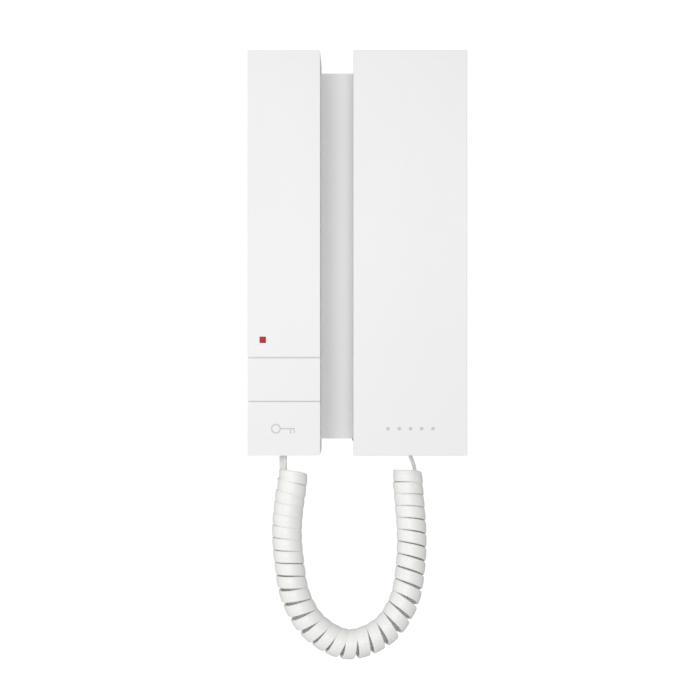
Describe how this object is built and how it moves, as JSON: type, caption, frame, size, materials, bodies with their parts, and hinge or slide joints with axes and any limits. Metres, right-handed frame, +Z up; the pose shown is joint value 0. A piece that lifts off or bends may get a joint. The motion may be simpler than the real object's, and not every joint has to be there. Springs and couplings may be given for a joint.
{
  "type": "wall phone",
  "caption": "Slimline wall phone: a narrow keyed column and a lift-off slab handset side by side on a flat cradle, joined below by a short curly cord.",
  "frame": {"origin": "middle of the wall plate's back face, on the wall", "axes": "+Z up the wall, along the column and the handset; +Y into the wall; +X to the right as seen by a person facing the wall"},
  "size_m": [0.11, 0.041, 0.3075],
  "materials": {
    "shell": "white ABS with a fine satin grain",
    "plate": "plain light grey moulded plastic",
    "cord": "soft warm white cord jacket, faintly ribbed",
    "lens": "clear red light guide",
    "board": "green solder resist",
    "dark_plastic": "black component plastic",
    "terminal": "green terminal housing",
    "clear": "milky clear plastic",
    "rubber": "soft matt rubber or foam",
    "steel": "zinc plated steel"
  },
  "bodies": {
    "base": {"wall_plate": "plate", "base_shell": "shell", "base_lock_screw": "steel", "column_fascia": "shell", "key_frame": "dark_plastic", "key_pin_upper": "steel", "key_pin_lower": "steel", "main_board": "board", "board_screw_1": "steel", "board_screw_2": "steel", "board_screw_3": "steel", "key_switch_upper": "dark_plastic", "key_switch_lower": "dark_plastic", "terminal_block": "terminal", "call_speaker": "dark_plastic", "line_transformer": "dark_plastic", "capacitor": "dark_plastic", "controller_chip": "dark_plastic", "led_lens": "lens", "led": "clear", "hook_switch": "dark_plastic", "keeper_plate": "steel", "cradle_pad_upper": "rubber", "cradle_pad_lower": "rubber", "base_jack": "dark_plastic", "base_plug": "clear", "cord_lead_base": "cord", "cord_coil": "cord"},
    "handset": {"handset_front": "shell", "handset_back": "shell", "handset_screw_upper": "steel", "handset_screw_lower": "steel", "ear_speaker": "dark_plastic", "ear_gasket": "rubber", "microphone": "steel", "microphone_boot": "rubber", "handset_weight": "steel", "handset_magnet": "steel", "handset_jack": "dark_plastic", "handset_plug": "clear", "cord_lead_handset": "cord"},
    "upper_key": {"key_upper": "shell"},
    "lower_key": {"key_lower": "shell"},
    "upper_stem": {"switch_stem_upper": "clear"},
    "lower_stem": {"switch_stem_lower": "clear"},
    "hook": {"hook_plunger": "plate"}
  },
  "joints": [
    {"name": "handset_lift", "type": "slide", "parent": "base", "child": "handset", "axis": [0, -1, 0], "range_m": [0, 0.08]},
    {"name": "key_upper_press", "type": "hinge", "parent": "base", "child": "upper_key", "pos_m": [-0.03685, -0.037, -0.0576], "axis": [1, 0, 0], "range_deg": [0, 4.8], "stiffness_Nm_per_rad": 0.4, "springref_deg": -1.72},
    {"name": "key_lower_press", "type": "hinge", "parent": "base", "child": "lower_key", "pos_m": [-0.03685, -0.037, -0.0795], "axis": [1, 0, 0], "range_deg": [0, 3.6], "stiffness_Nm_per_rad": 0.4, "springref_deg": -1.72},
    {"name": "stem_upper_push", "type": "slide", "parent": "base", "child": "upper_stem", "axis": [0, 1, 0], "range_m": [0, 0.0009]},
    {"name": "stem_lower_push", "type": "slide", "parent": "base", "child": "lower_stem", "axis": [0, 1, 0], "range_m": [0, 0.0009]},
    {"name": "hook_pop", "type": "slide", "parent": "base", "child": "hook", "axis": [0, -1, 0], "range_m": [0, 0.0031]}
  ],
  "couplings": [
    {"joint": "stem_upper_push", "follows": "key_upper_press", "m_per_rad": 0.01},
    {"joint": "stem_lower_push", "follows": "key_lower_press", "m_per_rad": 0.01},
    {"joint": "hook_pop", "follows": "handset_lift", "ratio": 0.0375}
  ]
}
